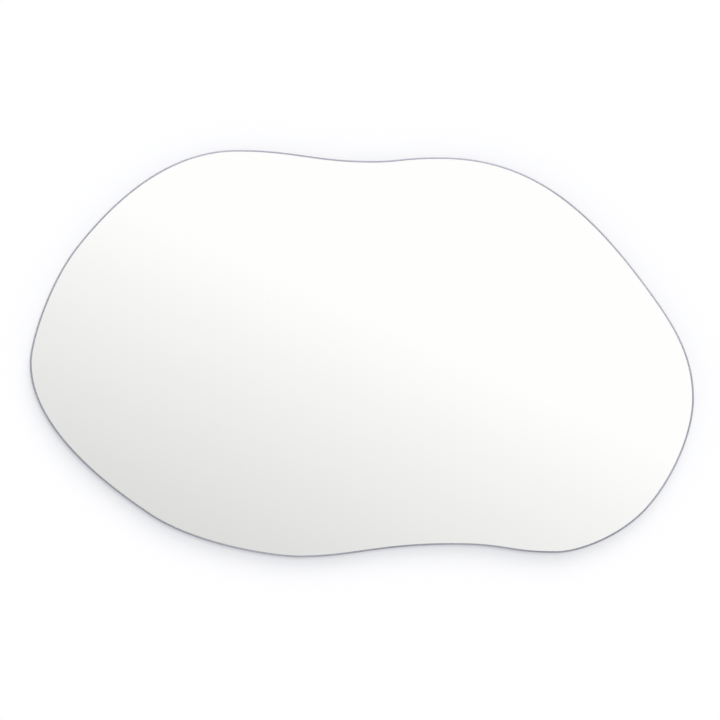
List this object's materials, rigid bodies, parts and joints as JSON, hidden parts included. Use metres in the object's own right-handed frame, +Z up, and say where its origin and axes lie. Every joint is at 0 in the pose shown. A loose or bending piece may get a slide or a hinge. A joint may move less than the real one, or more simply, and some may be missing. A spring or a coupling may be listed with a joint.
{
  "type": "irregular frameless wall mirror",
  "caption": "Frameless wall mirror with a smooth irregular outline: silvered glass on a fibreboard panel, with swinging D ring hangers for hanging it lying or upright.",
  "frame": {"origin": "on the wall plane, which the bumper tips touch, behind the middle of the pane's outline", "axes": "+Z up and +X to the right for someone looking at the mirror as it hangs lying; +Y into the wall, so the mirror faces -Y"},
  "size_m": [0.8999, 0.02, 0.552],
  "materials": {
    "glass": "clear float glass with a ground and polished pencil edge",
    "silvering": "silvered, with grey protective paint on its back",
    "foam_tape": "white closed-cell foam tape, matt",
    "silicone": "neutral-cure silicone, satin",
    "fibreboard": "raw medium-density fibreboard with a black painted edge",
    "zinc_hangers": "bright zinc plate",
    "zinc_screws": "bright zinc plate",
    "bumper_rubber": "clear soft polyurethane, glossy"
  },
  "bodies": {
    "mirror": {"glass_pane": "glass", "silver_backing": "silvering", "foam_tape_1": "foam_tape", "foam_tape_2": "foam_tape", "foam_tape_3": "foam_tape", "foam_tape_4": "foam_tape", "foam_tape_5": "foam_tape", "silicone_bead_1": "silicone", "silicone_bead_2": "silicone", "silicone_bead_3": "silicone", "silicone_bead_4": "silicone", "back_board": "fibreboard", "hanger_strap_top_left": "zinc_hangers", "hanger_screw_top_left_1": "zinc_screws", "hanger_screw_top_left_2": "zinc_screws", "hanger_strap_top_right": "zinc_hangers", "hanger_screw_top_right_1": "zinc_screws", "hanger_screw_top_right_2": "zinc_screws", "hanger_strap_end_upper": "zinc_hangers", "hanger_screw_end_upper_1": "zinc_screws", "hanger_screw_end_upper_2": "zinc_screws", "hanger_strap_end_lower": "zinc_hangers", "hanger_screw_end_lower_1": "zinc_screws", "hanger_screw_end_lower_2": "zinc_screws", "wall_bumper_top_left": "bumper_rubber", "wall_bumper_top_right": "bumper_rubber", "wall_bumper_bottom_left": "bumper_rubber", "wall_bumper_bottom_right": "bumper_rubber"},
    "ring_top_left": {"hanger_ring_top_left": "zinc_hangers"},
    "ring_top_right": {"hanger_ring_top_right": "zinc_hangers"},
    "ring_end_upper": {"hanger_ring_end_upper": "zinc_hangers"},
    "ring_end_lower": {"hanger_ring_end_lower": "zinc_hangers"}
  },
  "joints": [
    {"name": "ring_top_left_swing", "type": "hinge", "parent": "mirror", "child": "ring_top_left", "pos_m": [-0.22, -0.0035, 0.16535], "axis": [1, 0, 0], "range_deg": [0, 175]},
    {"name": "ring_top_right_swing", "type": "hinge", "parent": "mirror", "child": "ring_top_right", "pos_m": [0.22, -0.0035, 0.16535], "axis": [1, 0, 0], "range_deg": [0, 175]},
    {"name": "ring_end_upper_swing", "type": "hinge", "parent": "mirror", "child": "ring_end_upper", "pos_m": [-0.3366, -0.0035, 0.1], "axis": [0, 0, 1], "range_deg": [0, 175]},
    {"name": "ring_end_lower_swing", "type": "hinge", "parent": "mirror", "child": "ring_end_lower", "pos_m": [-0.3366, -0.0035, -0.1], "axis": [0, 0, 1], "range_deg": [0, 175]}
  ]
}
